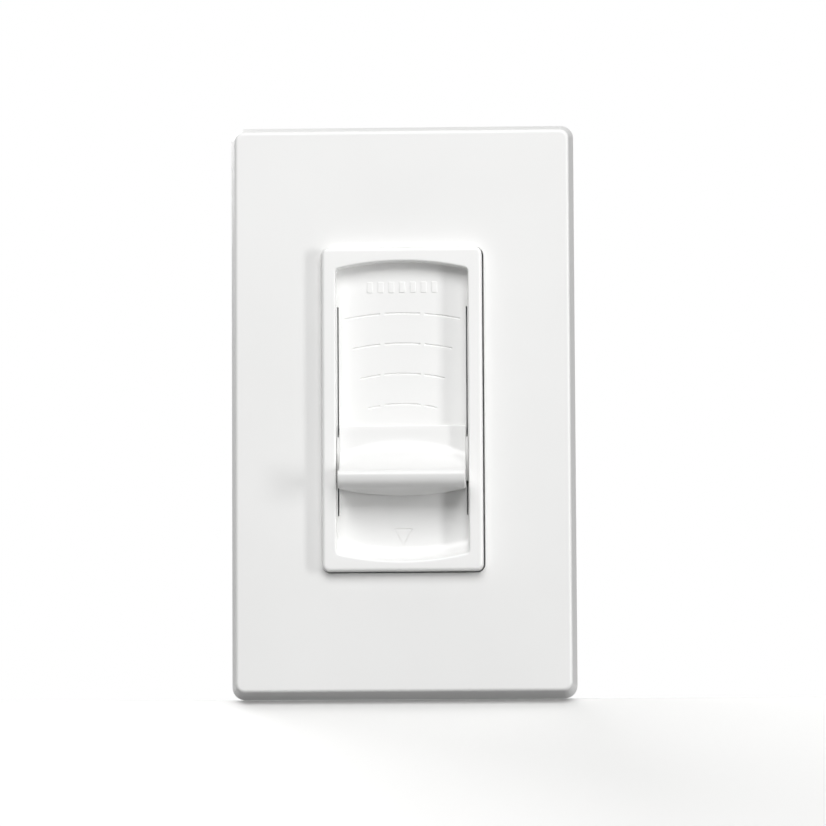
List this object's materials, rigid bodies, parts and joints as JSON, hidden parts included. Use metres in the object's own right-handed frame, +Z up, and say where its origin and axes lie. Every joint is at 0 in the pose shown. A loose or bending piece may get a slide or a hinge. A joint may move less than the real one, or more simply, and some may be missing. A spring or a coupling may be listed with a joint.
{
  "type": "dimmer slide switch",
  "caption": "Wall slide dimmer: a plain flat faceplate round a proud bezel, with a ramped paddle that slides up and down a recessed panel with curved index marks.",
  "frame": {"origin": "middle of the device in the plane of the wall, on the rear rim of the plate adapter", "axes": "+Z up, +X to the right as seen from the room, +Y into the wall"},
  "size_m": [0.0704, 0.0453, 0.1176],
  "materials": {
    "faceplate_plastic": "smooth moulded polycarbonate, semi-gloss white",
    "bezel_plastic": "smooth moulded white thermoplastic, semi-gloss",
    "paddle_plastic": "smooth moulded white thermoplastic, glossier than the bezel",
    "adapter_plastic": "fine matte moulded white plastic",
    "carriage_plastic": "natural acetal, satin",
    "strap_aluminium": "stamped and brushed sheet",
    "screw_steel": "zinc plated, turned",
    "rivet_steel": "zinc plated, swaged",
    "washer_fibre": "vulcanised fibre, matt",
    "housing_plastic": "glass-filled thermoset, fine matt texture",
    "board_laminate": "paper phenolic laminate",
    "pot_steel": "tin-plated steel",
    "track_laminate": "phenolic strip with a carbon track",
    "tinned_wire": "tinned copper",
    "ivory_plastic": "acetal, ivory",
    "spring_bronze": "phosphor bronze strip",
    "black_epoxy": "moulded epoxy, matt",
    "silicone_pad": "filled silicone sheet",
    "ferrite": "sintered ferrite, matt",
    "enamelled_copper": "enamelled copper wire, glossy",
    "capacitor_case": "moulded box",
    "dipped_epoxy": "dipped epoxy",
    "resistor_body": "lacquered ceramic",
    "diac_glass": "glass body",
    "trimmer_plastic": "moulded block",
    "fuse_can": "metal can",
    "terminal_brass": "bright brass",
    "ground_green": "green dyed plating",
    "contact_silver": "silver alloy"
  },
  "bodies": {
    "device": {"plate_adapter": "adapter_plastic", "adapter_screws": "screw_steel", "bezel": "bezel_plastic", "mounting_strap": "strap_aluminium", "box_screws": "screw_steel", "screw_washers": "washer_fibre", "rear_housing": "housing_plastic", "housing_rivets": "rivet_steel", "circuit_board": "board_laminate", "pot_case": "pot_steel", "pot_track": "track_laminate", "pot_terminals": "tinned_wire", "triac": "black_epoxy", "triac_pad": "silicone_pad", "triac_rivet": "rivet_steel", "choke_core": "ferrite", "choke_winding": "enamelled_copper", "line_capacitor": "capacitor_case", "timing_capacitor": "dipped_epoxy", "resistors": "resistor_body", "diac": "diac_glass", "trimmer": "trimmer_plastic", "trimmer_rotor": "ivory_plastic", "thermal_fuse": "fuse_can", "component_leads": "tinned_wire", "terminal_plates": "terminal_brass", "terminal_clamps": "terminal_brass", "terminal_screws": "terminal_brass", "ground_clamp": "terminal_brass", "ground_screw": "ground_green", "switch_block": "black_epoxy", "switch_leaf": "spring_bronze", "switch_contact": "spring_bronze", "contact_points": "contact_silver"},
    "slider": {"slider_paddle": "paddle_plastic", "slider_carriage": "carriage_plastic", "pot_lever": "pot_steel", "wiper_carrier": "ivory_plastic", "wiper_fingers": "spring_bronze"},
    "cover": {"faceplate": "faceplate_plastic"}
  },
  "joints": [
    {"name": "dimmer_slide", "type": "slide", "parent": "device", "child": "slider", "axis": [0, 0, 1], "range_m": [-0.0066, 0.0264], "deforming": ["switch_leaf"]},
    {"name": "faceplate_pull", "type": "slide", "parent": "device", "child": "cover", "axis": [0, -1, 0], "range_m": [0, 0.03]}
  ]
}
